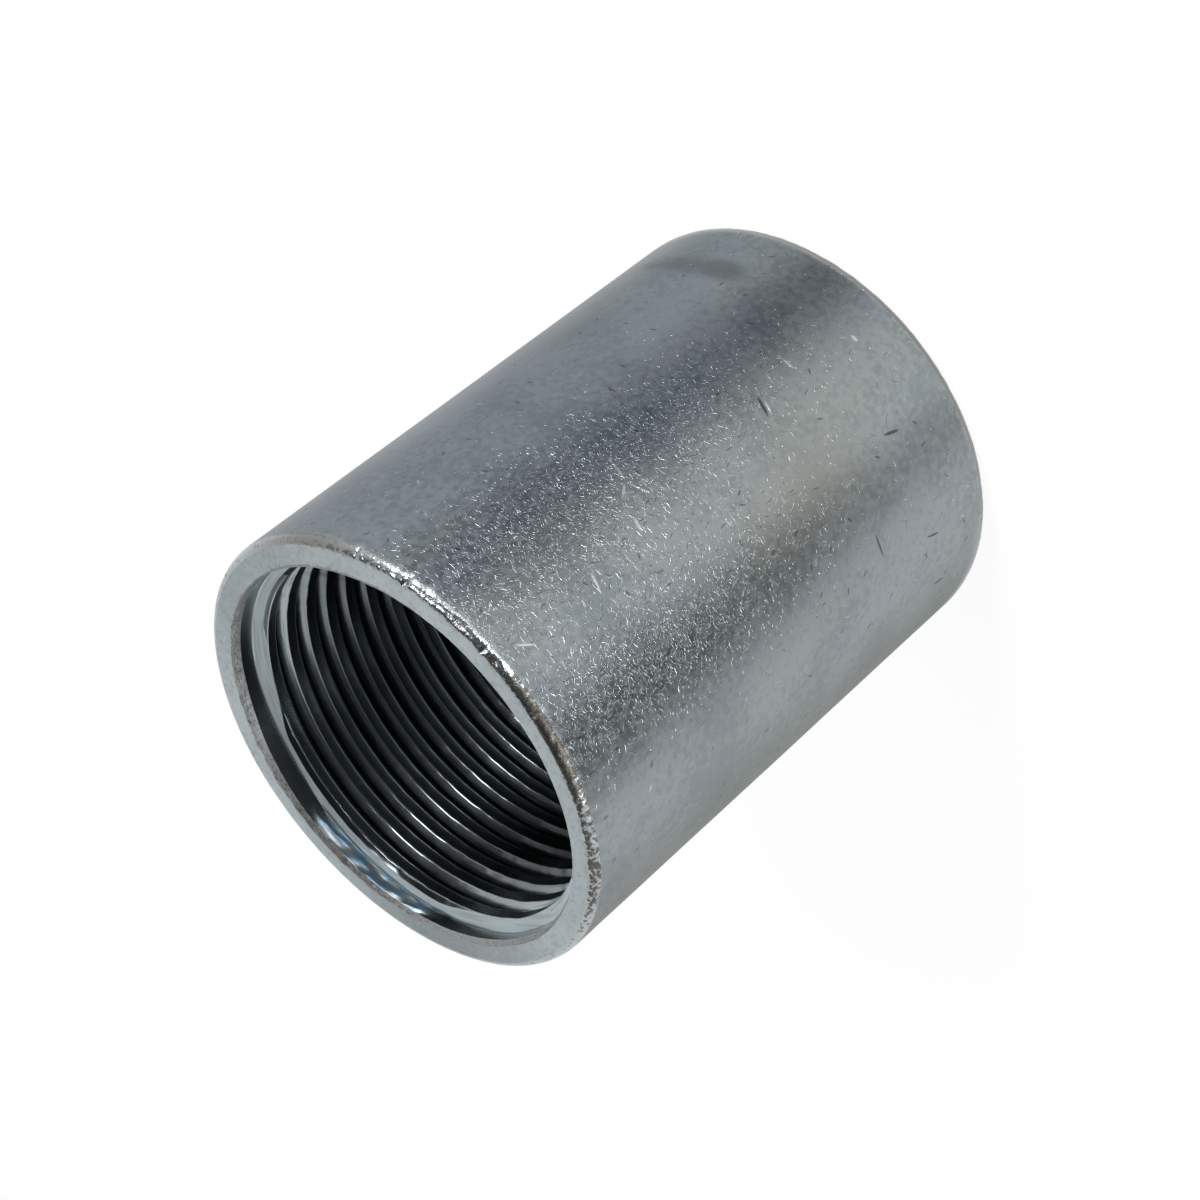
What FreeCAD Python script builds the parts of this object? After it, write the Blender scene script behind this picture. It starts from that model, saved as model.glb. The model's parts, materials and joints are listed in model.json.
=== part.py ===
import FreeCAD, Part
import math
import os

# Rigid conduit coupling: one short steel sleeve, open right through and tapped from end to end,
# that screws two lengths of threaded conduit together. Sizes are in millimetres. The sleeve stands
# on one end, with +Z along the bore and the origin at the centre of the lower end face.

# Driving dimensions of the wall, from the bore outwards
bore_diameter = 31.3  # across the crests of the internal thread
thread_height = 0.95  # crest to root, and so the step from the bore out to the mouth relief
root_wall = 2.45  # solid metal between the thread roots and the outside

# Driving dimensions along the axis
length = 49.4
relief_depth = 1.9  # plain cylinder at each mouth, clear of the thread roots
run_in_angle = 60.0  # slope of the cone from the relief to the crests, measured from the axis

# Driving dimensions of the edges
mouth_chamfer_width = 0.25  # across the end face
mouth_chamfer_depth = 0.6  # along the bore
outer_edge_radius = 0.7

# Radii and depths that follow from them
bore_radius = bore_diameter / 2
relief_radius = bore_radius + thread_height
mouth_radius = relief_radius + mouth_chamfer_width
outer_radius = relief_radius + root_wall
run_in_depth = relief_depth + thread_height / math.tan(math.radians(run_in_angle))

AXIS_POINT = FreeCAD.Vector(0, 0, 0)
AXIS = FreeCAD.Vector(0, 0, 1)
FULL_TURN = 360


def section_point(radius, height):
    """A point of the half section, which lies in the XZ plane."""
    return FreeCAD.Vector(radius, 0, height)


def mouth_points(face_height, inward):
    """The mouth of one end, from the flat end face in to the thread crests."""
    return [
        section_point(mouth_radius, face_height),
        section_point(relief_radius, face_height + inward * mouth_chamfer_depth),
        section_point(relief_radius, face_height + inward * relief_depth),
        section_point(bore_radius, face_height + inward * run_in_depth),
    ]


def outer_edge(face_height, inward):
    """The rounded outer edge of one end, as an arc from the end face to the outside wall."""
    centre_radius = outer_radius - outer_edge_radius
    centre_height = face_height + inward * outer_edge_radius
    slant = outer_edge_radius * math.sqrt(0.5)
    return Part.Arc(
        section_point(centre_radius, face_height),
        section_point(centre_radius + slant, centre_height - inward * slant),
        section_point(outer_radius, centre_height),
    )


def straight_runs(points):
    """Straight edges through the points, one after another."""
    return [Part.LineSegment(start, end).toShape() for start, end in zip(points, points[1:])]


def coupling_sleeve():
    """The whole sleeve: one closed half section turned about the axis."""
    lower_edge = outer_edge(0, 1)
    upper_edge = outer_edge(length, -1)
    bore_side = mouth_points(length, -1) + mouth_points(0, 1)[::-1]
    inside = [upper_edge.StartPoint] + bore_side + [lower_edge.StartPoint]
    outside = [lower_edge.EndPoint, upper_edge.EndPoint]
    edges = straight_runs(inside) + [lower_edge.toShape()] + straight_runs(outside) + [upper_edge.toShape()]
    section = Part.Face(Part.Wire(Part.__sortEdges__(edges)))
    return section.revolve(AXIS_POINT, AXIS, FULL_TURN)


os.makedirs("parts", exist_ok=True)
sleeve = coupling_sleeve()
sleeve.exportStep("parts/coupling_sleeve.step")
print("coupling_sleeve", sleeve.ShapeType, sleeve.isValid(), round(sleeve.Volume, 1), "mm3")
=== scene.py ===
import json
import math

import bmesh
import bpy
from mathutils import Matrix, Vector, noise


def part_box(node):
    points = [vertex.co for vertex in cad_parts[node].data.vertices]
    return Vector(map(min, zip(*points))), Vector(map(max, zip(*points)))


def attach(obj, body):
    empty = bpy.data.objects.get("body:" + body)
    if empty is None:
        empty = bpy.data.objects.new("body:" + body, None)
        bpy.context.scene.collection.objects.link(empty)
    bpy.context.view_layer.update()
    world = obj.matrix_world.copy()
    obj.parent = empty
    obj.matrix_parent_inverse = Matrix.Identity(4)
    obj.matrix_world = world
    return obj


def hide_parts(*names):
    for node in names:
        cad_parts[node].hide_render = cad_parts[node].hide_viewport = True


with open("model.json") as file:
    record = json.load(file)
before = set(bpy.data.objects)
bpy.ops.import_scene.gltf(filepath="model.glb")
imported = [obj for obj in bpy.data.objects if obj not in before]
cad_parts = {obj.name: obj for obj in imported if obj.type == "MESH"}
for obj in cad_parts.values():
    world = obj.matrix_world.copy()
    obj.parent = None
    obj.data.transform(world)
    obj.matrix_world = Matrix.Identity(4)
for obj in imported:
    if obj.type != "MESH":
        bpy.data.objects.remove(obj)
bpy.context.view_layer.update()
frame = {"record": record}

# The sleeve stands on its lower end, bore along +Z. Lengths are in millimetres, angles in degrees round it.
MM = 0.001
NODE = "coupling_sleeve"

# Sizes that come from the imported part
LOW_CORNER, HIGH_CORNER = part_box(NODE)
OUTER_RADIUS = (HIGH_CORNER[0] - LOW_CORNER[0]) / 2 / MM
LENGTH = (HIGH_CORNER[2] - LOW_CORNER[2]) / MM
MOUNTS = {mount["name"]: mount for mount in frame["record"]["mounts"]}
CREST_RADIUS = MOUNTS["upper_thread"]["dims"]["r_mm"]

# Mouth of each end: the part's section, with the relief and the run-in as short as the tap left them
RELIEF_RISE = 0.95  # of the relief above the crests
RELIEF_RADIUS = CREST_RADIUS + RELIEF_RISE
MOUTH_WIDTH = 0.25  # of the torn edge, seen from the end
MOUTH_RADIUS = RELIEF_RADIUS + MOUTH_WIDTH
MOUTH_DEPTH = 0.6
MOUTH_TEAR = 0.05  # depth of fine tears in that edge
MOUTH_CHIP = 0.09  # and of wider chips
MOUTH_FULL = 0.15  # depth that is stored on the mesh as 1
MOUTH_DEEPER = 0.2  # how much further the torn edge runs in beside the uncut groove
MOUTH_SHORTER = 0.3  # and how much less further round
MOUTH_FRAY = 0.3  # how far it has spread over the end face on one side
MOUTH_TIGHTER = 0.28  # how much further in the end face reaches on one side
MOUTH_WIDER = 0.15  # and how much less on the other
RELIEF_DEPTH = 1.75
RELIEF_DEEPER = 0.25  # how much longer the relief is beside the uncut groove
RELIEF_SHORTER = 0.3  # and how much shorter further round
RUN_IN_ANGLE = 68.0
RUN_IN_DEPTH = RELIEF_DEPTH + RELIEF_RISE / math.tan(math.radians(RUN_IN_ANGLE))
BORE_START = 1.3  # depth at which the even columns of the bore begin

# Right-hand thread, 11.5 turns to the inch
PITCH = 2.209
THREAD_HEIGHT = 0.9
CREST_FLAT = 1.0
FLANK = math.radians(30.0)
CREST_ROUND = 0.13
CREST_MARK_TURN = 95.0
CREST_MARK_HEIGHT = 44.88  # upper edge of a crest at CREST_MARK_TURN

# Rounded, hammered outer rim; notches are given as angle, reach in degrees and depth
RIM_WIDTH = 0.55
RIM_DROP = 0.75
RIM_FAR_WIDTH = 0.6  # on the side that took no blows
RIM_FAR_DROP = 0.8
RIM_RIDGE = 0.04  # depth of the fine ridges that the blows left
RIM_DENT = 0.12  # and of the wider dents
RIM_FULL = 0.2  # depth that is stored on the mesh as 1
LOWER_FORCE = 0.3  # of the blows on the lower end, where 1 is the hardest
FAR_FORCE = 0.15  # and on the far side of the upper end
RIM_NOTCHES = ((-61.3, 1.1, 0.22), (-101.3, 0.9, 0.2), (-84.0, 0.7, 0.1), (-47.0, 0.8, 0.1))

# Spans round the sleeve: from, to, and the degrees over which each fades out
BEATEN_SPAN = (-140.0, -50.0, 25.0)
WORN_SPAN = (-165.0, -28.0, 20.0)
FRAYED_SPAN = (15.0, 95.0, 30.0)
TIGHTER_SPAN = (-48.0, 45.0, 30.0)
WIDER_SPAN = (-140.0, -112.0, 25.0)
DEEPER_SPAN = (10.0, 45.0, 20.0)
SHORTER_SPAN = (85.0, 140.0, 30.0)
UNCUT_SPAN = (0.0, 50.0, 40.0)
LONG_RELIEF_SPAN = (0.0, 70.0, 20.0)
EARLY_SPAN = (96.0, 162.0, 18.0)
TORN_SPAN = (92.0, 168.0, 16.0)
BURRED_SPAN = (-20.0, 25.0, 15.0)
WAVY_SPAN = (75.0, 142.0, 10.0)

# Columns round the sleeve and rows along it; an end is 1 for the upper one and -1 for the lower
FINE = 1080
COARSE = 360
SPLIT = FINE // COARSE
WALL_ROWS = 18
RIM_ROWS = {1: 8, -1: 6}
MOUTH_ROWS = {1: 5, -1: 4}
FACE_SHARES = (0.35, 0.7)  # where the rings of the end face lie between rim and mouth
WALL_MARGIN = 0.4  # from the rim to the first even row of the wall
LEVEL = 0.03  # heights closer than this count as level
TOUCHING = 1.0e-4  # and radii closer than this as touching
WALL_SLACK = 0.03  # keeps the uneven wall inside its nominal diameter
CRISP_ANGLE = math.radians(38.0)  # edges that bend more than this stay crisp

# Finish zones, in the order of the material slots
WALL, RIM, RING, MOUTH, BORE = range(5)


def turns(columns):
    """Angles of the columns, starting on the -X side."""
    return [-180.0 + 360.0 * column / columns for column in range(columns)]


def grain(turn, height, size, shift=0.0):
    """Smooth noise on the sleeve's surface, from -1 to 1, with bumps about as large as size."""
    angle = math.radians(turn)
    spot = Vector((OUTER_RADIUS * math.cos(angle), OUTER_RADIUS * math.sin(angle), height)) / size
    return noise.noise(spot + Vector((shift, 0.37 * shift, 0.71 * shift)))


def apart(turn, centre):
    """Degrees between two angles, the short way round."""
    return abs((turn - centre + 180.0) % 360.0 - 180.0)


def hump(turn, centre, reach):
    """1 at the centre angle, falling smoothly to 0 at reach degrees to each side."""
    away = apart(turn, centre) / reach
    return max(0.0, 1.0 - away * away) ** 2


def plateau(turn, start, end, fade):
    """1 between two angles, falling to 0 over fade degrees outside them."""
    away = apart(turn, (start + end) / 2) - (end - start) / 2
    return min(1.0, max(0.0, 1.0 - away / fade))


class Skin:
    """The sleeve's vertices and faces, with the finish zone of each face, before the mesh is made."""

    def __init__(self):
        self.points = []
        self.unrolled = []
        self.blows = []
        self.faces = []
        self.zones = []

    def point(self, turn, radius, height, run, blow=0.0):
        angle = math.radians(turn)
        self.points.append(Vector((radius * math.cos(angle), radius * math.sin(angle), height)) * MM)
        self.unrolled.append((math.radians(turn + 180.0) * OUTER_RADIUS, run))
        self.blows.append(blow)
        return len(self.points) - 1

    def ring(self, columns, shape):
        return [self.point(turn, *shape(turn)) for turn in turns(columns)]

    def face(self, corners, zone):
        self.faces.append(corners)
        self.zones.append(zone)

    def band(self, first, second, zone):
        """Quads between two rings of equal count."""
        count = len(first)
        for here in range(count):
            after = (here + 1) % count
            self.face((first[here], first[after], second[after], second[here]), zone)

    def stitch(self, fine, coarse, zone):
        """Joins a fine ring to a coarse one, three columns to one."""
        for here in range(len(coarse)):
            after = (here + 1) % len(coarse)
            a, b, c = (fine[SPLIT * here + step] for step in range(SPLIT))
            d = fine[SPLIT * after]
            self.face((coarse[here], a, b), zone)
            self.face((coarse[here], b, c, coarse[after]), zone)
            self.face((coarse[after], c, d), zone)

    def zip_columns(self, first, second, zone):
        """Joins two neighbouring columns of (height, vertex) from the top down."""
        i = j = 0
        while i < len(first) - 1 or j < len(second) - 1:
            next_first = first[i + 1][0] if i < len(first) - 1 else -math.inf
            next_second = second[j + 1][0] if j < len(second) - 1 else -math.inf
            if abs(next_first - next_second) < LEVEL:
                self.face((first[i][1], first[i + 1][1], second[j + 1][1], second[j][1]), zone)
                i += 1
                j += 1
            elif next_first > next_second:
                self.face((first[i][1], first[i + 1][1], second[j][1]), zone)
                i += 1
            else:
                self.face((first[i][1], second[j + 1][1], second[j][1]), zone)
                j += 1


def from_end(end, depth):
    """Height of a spot that lies a depth below the face of the upper (1) or lower (-1) end."""
    return LENGTH - depth if end > 0 else depth


def wall_shape(height):
    """One ring of the outside wall, which drawing and tumbling left very slightly uneven."""
    def shape(turn):
        sway = 0.022 * grain(turn, height * 0.5, 9.0, 3.0) + 0.01 * grain(turn, height, 4.0, 8.0)
        return OUTER_RADIUS - WALL_SLACK + sway, height, height
    return shape


def rim_blow(turn, share, end):
    """How deep the blows on the outer rim have sunk it, in millimetres."""
    fade = math.sin(math.pi * (0.12 + 0.8 * share))
    if end > 0:
        force = FAR_FORCE + (1.0 - FAR_FORCE) * plateau(turn, *BEATEN_SPAN)
    else:
        force = LOWER_FORCE
    ridges = 0.5 + 0.5 * grain(turn, 1.1 * share, 0.42, 5.0 * end)
    dents = max(0.0, grain(turn, 1.1 * share, 0.9, 11.0 * end) + 0.1)
    depth = force * fade * (RIM_RIDGE * ridges + RIM_DENT * dents)
    if end > 0:
        for centre, reach, sunk in RIM_NOTCHES:
            depth += sunk * fade * hump(turn, centre, reach)
    return depth


def rim_wear(turn):
    """How far the blows have rounded the rim, from 0 on the far side to 1."""
    return plateau(turn, *WORN_SPAN)


def rim_width(turn, end):
    """Width of the rounded rim seen from the end, which the blows left uneven."""
    worn = rim_wear(turn)
    uneven = 0.08 * grain(turn, 0.0, 1.6, 70.0 + end) + 0.05 * grain(turn, 0.0, 0.5, 77.0 + end)
    return RIM_FAR_WIDTH + (RIM_WIDTH - RIM_FAR_WIDTH) * worn + (0.2 + 0.8 * worn) * uneven


def rim_shape(share, end):
    """One ring of the rounded rim, from the wall (share 0) to the end face (share 1)."""
    swing = math.radians(90.0 * share)

    def shape(turn):
        blow = rim_blow(turn, share, end)
        width = rim_width(turn, end)
        radius = OUTER_RADIUS - WALL_SLACK - width * (1.0 - math.cos(swing)) - blow * math.cos(swing)
        drop = RIM_FAR_DROP + (RIM_DROP - RIM_FAR_DROP) * rim_wear(turn)
        depth = drop * (1.0 - math.sin(swing)) + blow * math.sin(swing)
        run = -share
        if share == 1.0:
            depth = 0.0
            run = OUTER_RADIUS - radius
        return radius, from_end(end, depth), from_end(end, run), blow / RIM_FULL
    return shape


def ring_shape(radius, end):
    """One ring of the flat end face."""
    def shape(turn):
        return radius, from_end(end, 0.0), from_end(end, OUTER_RADIUS - radius)
    return shape


def mouth_fray(turn, end):
    """How far the torn edge has spread over the end face, in millimetres."""
    if end < 0:
        return 0.0
    ragged = 0.75 + 0.5 * grain(turn, 0.0, 0.9, 90.0) + 0.35 * grain(turn, 0.0, 0.35, 95.0)
    return MOUTH_FRAY * plateau(turn, *FRAYED_SPAN) * max(0.0, ragged)


def mouth_shape(share, end):
    """One ring of the torn edge between the end face (share 0) and the relief (share 1)."""
    def shape(turn):
        tear = 0.5 + 0.5 * grain(turn, 0.8 * share, 0.4, 20.0 + 3.0 * end)
        chip = max(0.0, grain(turn, 0.8 * share, 1.3, 31.0 + 3.0 * end))
        fade = math.sin(math.pi * (0.25 + 0.7 * share))
        blow = fade * (MOUTH_TEAR * tear + MOUTH_CHIP * chip)
        fray = mouth_fray(turn, end)
        width = MOUTH_RADIUS + fray - RELIEF_RADIUS
        width += MOUTH_WIDER * plateau(turn, *WIDER_SPAN)
        width -= MOUTH_TIGHTER * plateau(turn, *TIGHTER_SPAN)
        radius = RELIEF_RADIUS + width * (1.0 - share) + blow
        reach = MOUTH_DEPTH + MOUTH_DEEPER * plateau(turn, *DEEPER_SPAN)
        reach -= MOUTH_SHORTER * plateau(turn, *SHORTER_SPAN)
        depth = reach * share ** (1.0 + 3.0 * fray) + 0.4 * blow
        if share == 0.0:
            depth = 0.0
        run = (OUTER_RADIUS - radius) * (1.0 - share) + depth * share
        return radius, from_end(end, depth), from_end(end, run), blow / MOUTH_FULL
    return shape


def thread_stations():
    """One pitch of the thread from the middle of a crest up: height, rise above the crest, edge name."""
    half = CREST_FLAT / 2
    foot = half + THREAD_HEIGHT * math.tan(FLANK)
    upper = (
        (half - CREST_ROUND, 0.0, "upper"),
        (half - 0.125 * CREST_ROUND, 0.217 * CREST_ROUND, "upper"),
        (half + 0.5 * CREST_ROUND, 0.866 * CREST_ROUND, "upper"),
        (foot, THREAD_HEIGHT, "root"),
    )
    lower = tuple((PITCH - rise, lift, "lower" if name == "upper" else name) for rise, lift, name in upper)
    return upper + lower[::-1]


STATIONS = thread_stations()


def crest_height(turn):
    """Height of the middle of the marked crest at an angle."""
    return CREST_MARK_HEIGHT - CREST_FLAT / 2 + PITCH * (turn - CREST_MARK_TURN) / 360.0


def filled(turn):
    """How far the first groove of the upper end is left uncut, from 0 to 1."""
    return plateau(turn, *UNCUT_SPAN)


def early_start(turn):
    """How much sooner the run-in cone of the upper end starts and ends, in millimetres."""
    return RELIEF_SHORTER * plateau(turn, *EARLY_SPAN)


def relief_depth(turn, end):
    """Depth at which the plain relief ends and the run-in cone starts."""
    if end < 0:
        return RELIEF_DEPTH
    return RELIEF_DEPTH + RELIEF_DEEPER * plateau(turn, *LONG_RELIEF_SPAN) - early_start(turn)


def run_in_depth(turn, end):
    """Depth at which the run-in cone meets the crests; where the groove is uncut, the first crest's edge."""
    if end < 0:
        return RUN_IN_DEPTH
    edge = LENGTH - crest_height(turn) - PITCH - CREST_FLAT / 2 + CREST_ROUND
    return RUN_IN_DEPTH + (edge - RUN_IN_DEPTH) * filled(turn) - early_start(turn)


def mouth_radius(turn, height):
    """Radius of the relief and the run-in cone at a height, or 0 where the bore is past them."""
    end = 1 if height > LENGTH / 2 else -1
    depth = min(height, LENGTH - height)
    cone_start = relief_depth(turn, end)
    cone_end = run_in_depth(turn, end)
    if depth <= cone_start:
        return RELIEF_RADIUS
    if depth >= cone_end:
        return 0.0
    share = (depth - cone_start) / (cone_end - cone_start)
    return RELIEF_RADIUS + (CREST_RADIUS - RELIEF_RADIUS) * share


def thread_points(turn):
    """Corners of the thread along one column, from below the sleeve to above it."""
    crest = crest_height(turn)
    first = math.floor(-crest / PITCH) - 1
    count = math.ceil(LENGTH / PITCH) + 3
    points = []
    for step in range(first, first + count):
        for rise, lift, name in STATIONS:
            points.append((crest + step * PITCH + rise, CREST_RADIUS + lift, name))
    return points


def radius_between(points, height):
    """Radius of the thread at a height, on the straight runs between its corners."""
    for (low, near, _), (high, far, _) in zip(points, points[1:]):
        if low <= height <= high:
            return near + (far - near) * (height - low) / (high - low)
    return CREST_RADIUS


def bore_corners(turn):
    """Corners of one bore column from the top down: thread and mouth, whichever is cut deeper."""
    points = thread_points(turn)
    top = LENGTH - BORE_START
    corners = [(top, RELIEF_RADIUS, "mouth"), (BORE_START, RELIEF_RADIUS, "mouth")]
    for height, radius, name in points:
        cone = mouth_radius(turn, height)
        if height > LENGTH / 2 and cone > 0.0:
            radius = cone + (radius - cone) * (1.0 - filled(turn))
        if BORE_START < height < top and radius > cone + TOUCHING:
            corners.append((height, radius, name))
    for end in (1, -1):
        relief = from_end(end, relief_depth(turn, end))
        cone_end = from_end(end, run_in_depth(turn, end))
        corners.append((relief, RELIEF_RADIUS, "relief"))
        low, high = min(relief, cone_end), max(relief, cone_end)
        if radius_between(points, cone_end) - CREST_RADIUS < TOUCHING:
            corners.append((cone_end, CREST_RADIUS, "run_in"))
        breaks = sorted([low, high - 1.0e-6] + [height for height, _, _ in points if low < height < high])
        for start, stop in zip(breaks, breaks[1:]):
            gap_start = radius_between(points, start) - max(mouth_radius(turn, start), CREST_RADIUS)
            gap_stop = radius_between(points, stop) - max(mouth_radius(turn, stop), CREST_RADIUS)
            if gap_start * gap_stop < -1.0e-9:
                cross = start + (stop - start) * gap_start / (gap_start - gap_stop)
                corners.append((cross, radius_between(points, cross), "run_in"))
    return sorted(corners, key=lambda corner: -corner[0])


def tear_corner(turn, height, radius, name):
    """Moves a corner of the bore the way the tap tore it."""
    torn = 0.1 + 0.9 * plateau(turn, *TORN_SPAN)
    if name == "upper":
        ragged = 0.6 * grain(turn, height, 1.4, 40.0) + 0.4 * grain(turn, height, 0.8, 44.0)
        height += torn * (0.09 * ragged - 0.03)
        height += 0.07 * plateau(turn, *BURRED_SPAN) * grain(turn, height, 0.55, 57.0)
        radius += torn * 0.05 * max(0.0, grain(turn, height, 1.2, 47.0))
    if name == "lower":
        radius += 0.06 * torn * max(0.0, grain(turn, height, 0.9, 62.0))
    if name == "run_in":
        height += 0.03 * plateau(turn, *WAVY_SPAN) * grain(turn, 0.0, 1.8, 53.0)
    return height, radius


def build_end(skin, end):
    """The rim, face and torn mouth of one end, and the two rings that join them to wall and bore."""
    rim_rows = RIM_ROWS[end]
    mouth_rows = MOUTH_ROWS[end]
    rings = [skin.ring(FINE, rim_shape(row / (rim_rows - 1), end)) for row in range(rim_rows)]
    zones = [RIM] * (rim_rows - 1)
    for share in FACE_SHARES:
        inner = OUTER_RADIUS - RIM_WIDTH - share * (OUTER_RADIUS - RIM_WIDTH - MOUTH_RADIUS)
        rings.append(skin.ring(FINE, ring_shape(inner, end)))
        zones.append(RING)
    for row in range(mouth_rows):
        rings.append(skin.ring(FINE, mouth_shape(row / (mouth_rows - 1), end)))
        zones.append(RING if row == 0 else MOUTH)
    for first, second, zone in zip(rings, rings[1:], zones):
        skin.band(first, second, zone)
    return rings[0], rings[-1]


def build_wall(skin):
    """The outside wall, from its lowest ring to its highest."""
    start = RIM_DROP + WALL_MARGIN
    rows = [start + (LENGTH - 2 * start) * row / (WALL_ROWS - 1) for row in range(WALL_ROWS)]
    rings = [skin.ring(COARSE, wall_shape(height)) for height in rows]
    for first, second in zip(rings, rings[1:]):
        skin.band(first, second, WALL)
    return rings[0], rings[-1]


def build_bore(skin):
    """The threaded bore between the two mouths, one column for each coarse angle."""
    columns = []
    for turn in turns(COARSE):
        column = []
        for height, radius, name in bore_corners(turn):
            torn_height, torn_radius = tear_corner(turn, height, radius, name)
            column.append((height, skin.point(turn, torn_radius, torn_height, torn_height)))
        columns.append(column)
    for here in range(COARSE):
        skin.zip_columns(columns[here], columns[(here + 1) % COARSE], BORE)
    return [column[-1][1] for column in columns], [column[0][1] for column in columns]


def add_object(name, data):
    """A new object in the scene."""
    made = bpy.data.objects.new(name, data)
    bpy.context.scene.collection.objects.link(made)
    return made


def build_sleeve(finishes):
    """The whole sleeve as one closed mesh with its five finishes."""
    skin = Skin()
    wall_low, wall_high = build_wall(skin)
    bore_low, bore_high = build_bore(skin)
    for end, wall_ring, bore_ring in ((1, wall_high, bore_high), (-1, wall_low, bore_low)):
        rim_ring, mouth_ring = build_end(skin, end)
        skin.stitch(rim_ring, wall_ring, WALL)
        skin.stitch(mouth_ring, bore_ring, BORE)
    mesh = bpy.data.meshes.new("sleeve")
    mesh.from_pydata(skin.points, [], skin.faces)
    mesh.polygons.foreach_set("material_index", skin.zones)
    unroll(mesh, skin)
    blows = mesh.attributes.new("blow", "FLOAT", "POINT")
    blows.data.foreach_set("value", skin.blows)
    for finish in finishes:
        mesh.materials.append(finish)
    close_up(mesh)
    sleeve = add_object("sleeve", mesh)
    even = sleeve.modifiers.new("even_normals", "WEIGHTED_NORMAL")
    even.keep_sharp = True
    return sleeve


def unroll(mesh, skin):
    """Stores the unrolled surface, in millimetres, as the map that scuffs and marks are laid on."""
    around = 2 * math.pi * OUTER_RADIUS
    layer = mesh.uv_layers.new(name="unrolled")
    for polygon in mesh.polygons:
        spots = [skin.unrolled[corner] for corner in polygon.vertices]
        furthest = max(spot[0] for spot in spots)
        for loop, (arc, run) in zip(polygon.loop_indices, spots):
            if furthest - arc > around / 2:
                arc += around
            layer.data[loop].uv = (arc, run)


def close_up(mesh):
    """Turns every face outwards, smooths it, and keeps the turned edges crisp."""
    work = bmesh.new()
    work.from_mesh(mesh)
    bmesh.ops.recalc_face_normals(work, faces=work.faces)
    for face in work.faces:
        face.smooth = True
    for edge in work.edges:
        zones = {face.material_index for face in edge.link_faces}
        edge.smooth = edge.calc_face_angle(0.0) < CRISP_ANGLE and zones != {MOUTH, BORE}
    work.to_mesh(mesh)
    work.free()


def feed(tree, value, socket):
    """Gives an input socket a plain value or another node's output."""
    if isinstance(value, bpy.types.NodeSocket):
        tree.links.new(value, socket)
    else:
        socket.default_value = value


def place(tree, kind, wires=None, **settings):
    """Adds a node; wires gives its inputs by name or number, as a value or another node's output."""
    added = tree.nodes.new(kind)
    for name, value in settings.items():
        setattr(added, name, value)
    for name, value in (wires or {}).items():
        feed(tree, value, added.inputs[name])
    return added


def calc(tree, operation, *values, clamp=False):
    """A Math node; returns its output."""
    wires = dict(enumerate(values))
    return place(tree, "ShaderNodeMath", wires, operation=operation, use_clamp=clamp).outputs[0]


def times(tree, first, second):
    """The product of two values."""
    return calc(tree, "MULTIPLY", first, second)


def add_share(tree, value, share, base):
    """A share of one value added to another."""
    return calc(tree, "MULTIPLY_ADD", value, share, base)


def dome(tree, share):
    """1 in the middle, falling to 0 where a share reaches 1 or -1."""
    return calc(tree, "MULTIPLY_ADD", share, times(tree, share, -1.0), 1.0, clamp=True)


def move(tree, operation, *values):
    """A Vector Math node; returns its vector output."""
    wires = dict(enumerate(values))
    return place(tree, "ShaderNodeVectorMath", wires, operation=operation).outputs[0]


def scaled(tree, vector, scale):
    """A vector times a number."""
    wires = {0: vector, "Scale": scale}
    return place(tree, "ShaderNodeVectorMath", wires, operation="SCALE").outputs[0]


def length_of(tree, vector):
    """Length of a vector."""
    return place(tree, "ShaderNodeVectorMath", {0: vector}, operation="LENGTH").outputs["Value"]


def turned_by(tree, vector, angle):
    """A vector on the unrolled surface, turned by an angle."""
    wires = {"Vector": vector, "Angle": angle}
    return place(tree, "ShaderNodeVectorRotate", wires, rotation_type="Z_AXIS").outputs[0]


def clouds(tree, vector, scale, detail, rough=0.5):
    """Soft noise; returns its value."""
    wires = {"Vector": vector, "Scale": scale, "Detail": detail, "Roughness": rough}
    return place(tree, "ShaderNodeTexNoise", wires).outputs[0]


def spread(tree, value, low, high, to_low=0.0, to_high=1.0):
    """Stretches a value from one range to another, with a smooth start and stop."""
    wires = {0: value, 1: low, 2: high, 3: to_low, 4: to_high}
    return place(tree, "ShaderNodeMapRange", wires, interpolation_type="SMOOTHSTEP").outputs[0]


def mix(tree, share, first, second, kind="MIX"):
    """Mixes two colours, or multiplies them; returns the result."""
    added = place(tree, "ShaderNodeMix", data_type="RGBA", blend_type=kind)
    for number, value in ((0, share), (6, first), (7, second)):
        feed(tree, value, added.inputs[number])
    return added.outputs[2]


def tint(tree, colour, mask, share, other):
    """Lays a share of another colour over a colour where a mask is."""
    return mix(tree, times(tree, mask, share), colour, other)


def any_of(tree, masks):
    """The strongest of several masks."""
    strongest = masks[0]
    for mask in masks[1:]:
        strongest = calc(tree, "MAXIMUM", strongest, mask)
    return strongest


def new_group(name, inputs, outputs):
    """An empty shader node group; returns it with its input and output sockets."""
    group = bpy.data.node_groups.new(name, "ShaderNodeTree")
    for socket, start in inputs.items():
        kind = "NodeSocketVector" if isinstance(start, tuple) else VALUE
        group.interface.new_socket(socket, in_out="INPUT", socket_type=kind).default_value = start
    for socket, kind in outputs.items():
        group.interface.new_socket(socket, in_out="OUTPUT", socket_type=kind)
    given = group.nodes.new("NodeGroupInput")
    result = group.nodes.new("NodeGroupOutput")
    return group, given.outputs, result.inputs


def use_group(tree, group, wires):
    """Places a node group in a tree; returns its outputs."""
    return place(tree, "ShaderNodeGroup", wires, node_tree=group).outputs


ORIGIN = (0.0, 0.0, 0.0)
VALUE = "NodeSocketFloat"
COLOUR = "NodeSocketColor"
SCUFF_BEND = 0.6  # range of the bend of a scuff, half to each side


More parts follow.
